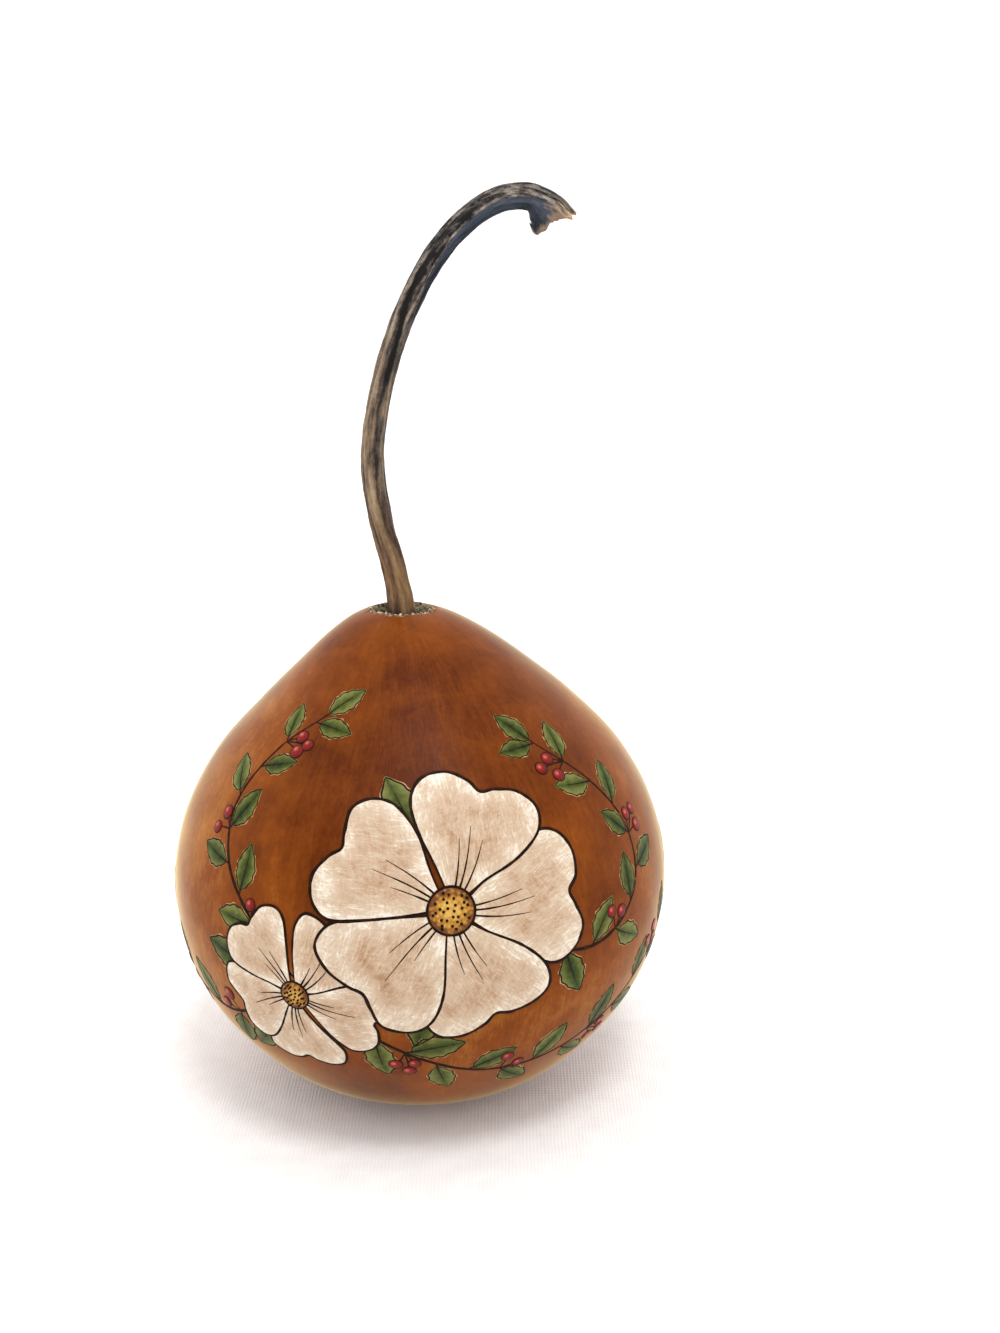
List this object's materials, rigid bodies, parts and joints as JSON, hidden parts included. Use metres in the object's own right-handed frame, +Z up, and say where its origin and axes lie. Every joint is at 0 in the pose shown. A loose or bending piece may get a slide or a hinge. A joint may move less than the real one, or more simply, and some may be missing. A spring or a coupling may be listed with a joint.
{
  "type": "painted gourd",
  "caption": "Dried round gourd with a tall curved stem that hooks over at its torn tip, painted with a cream flower, green leaves and red berries; stands on its blossom end.",
  "frame": {"origin": "middle of the flat resting spot under the gourd", "axes": "+Z up through the gourd towards the stem, -Y out of the painted front, +X to the side that the stem's crook points to"},
  "size_m": [0.1656, 0.1648, 0.2961],
  "materials": {
    "shell": "leather-dyed dried gourd shell under a satin varnish",
    "stem": "dry weathered stem, matt, with five pale ridges and dark faces",
    "cream_paint": "cream paint dry-brushed over the brown shell, eggshell sheen",
    "leaf_paint": "green leaf paint with a dark middle streak, eggshell sheen",
    "berry_paint": "red berry paint with a pink light spot, eggshell sheen",
    "burnt_line": "dark line burnt into the shell, matt"
  },
  "bodies": {
    "root": {"gourd_body": "shell", "stem": "stem"}
  },
  "joints": []
}
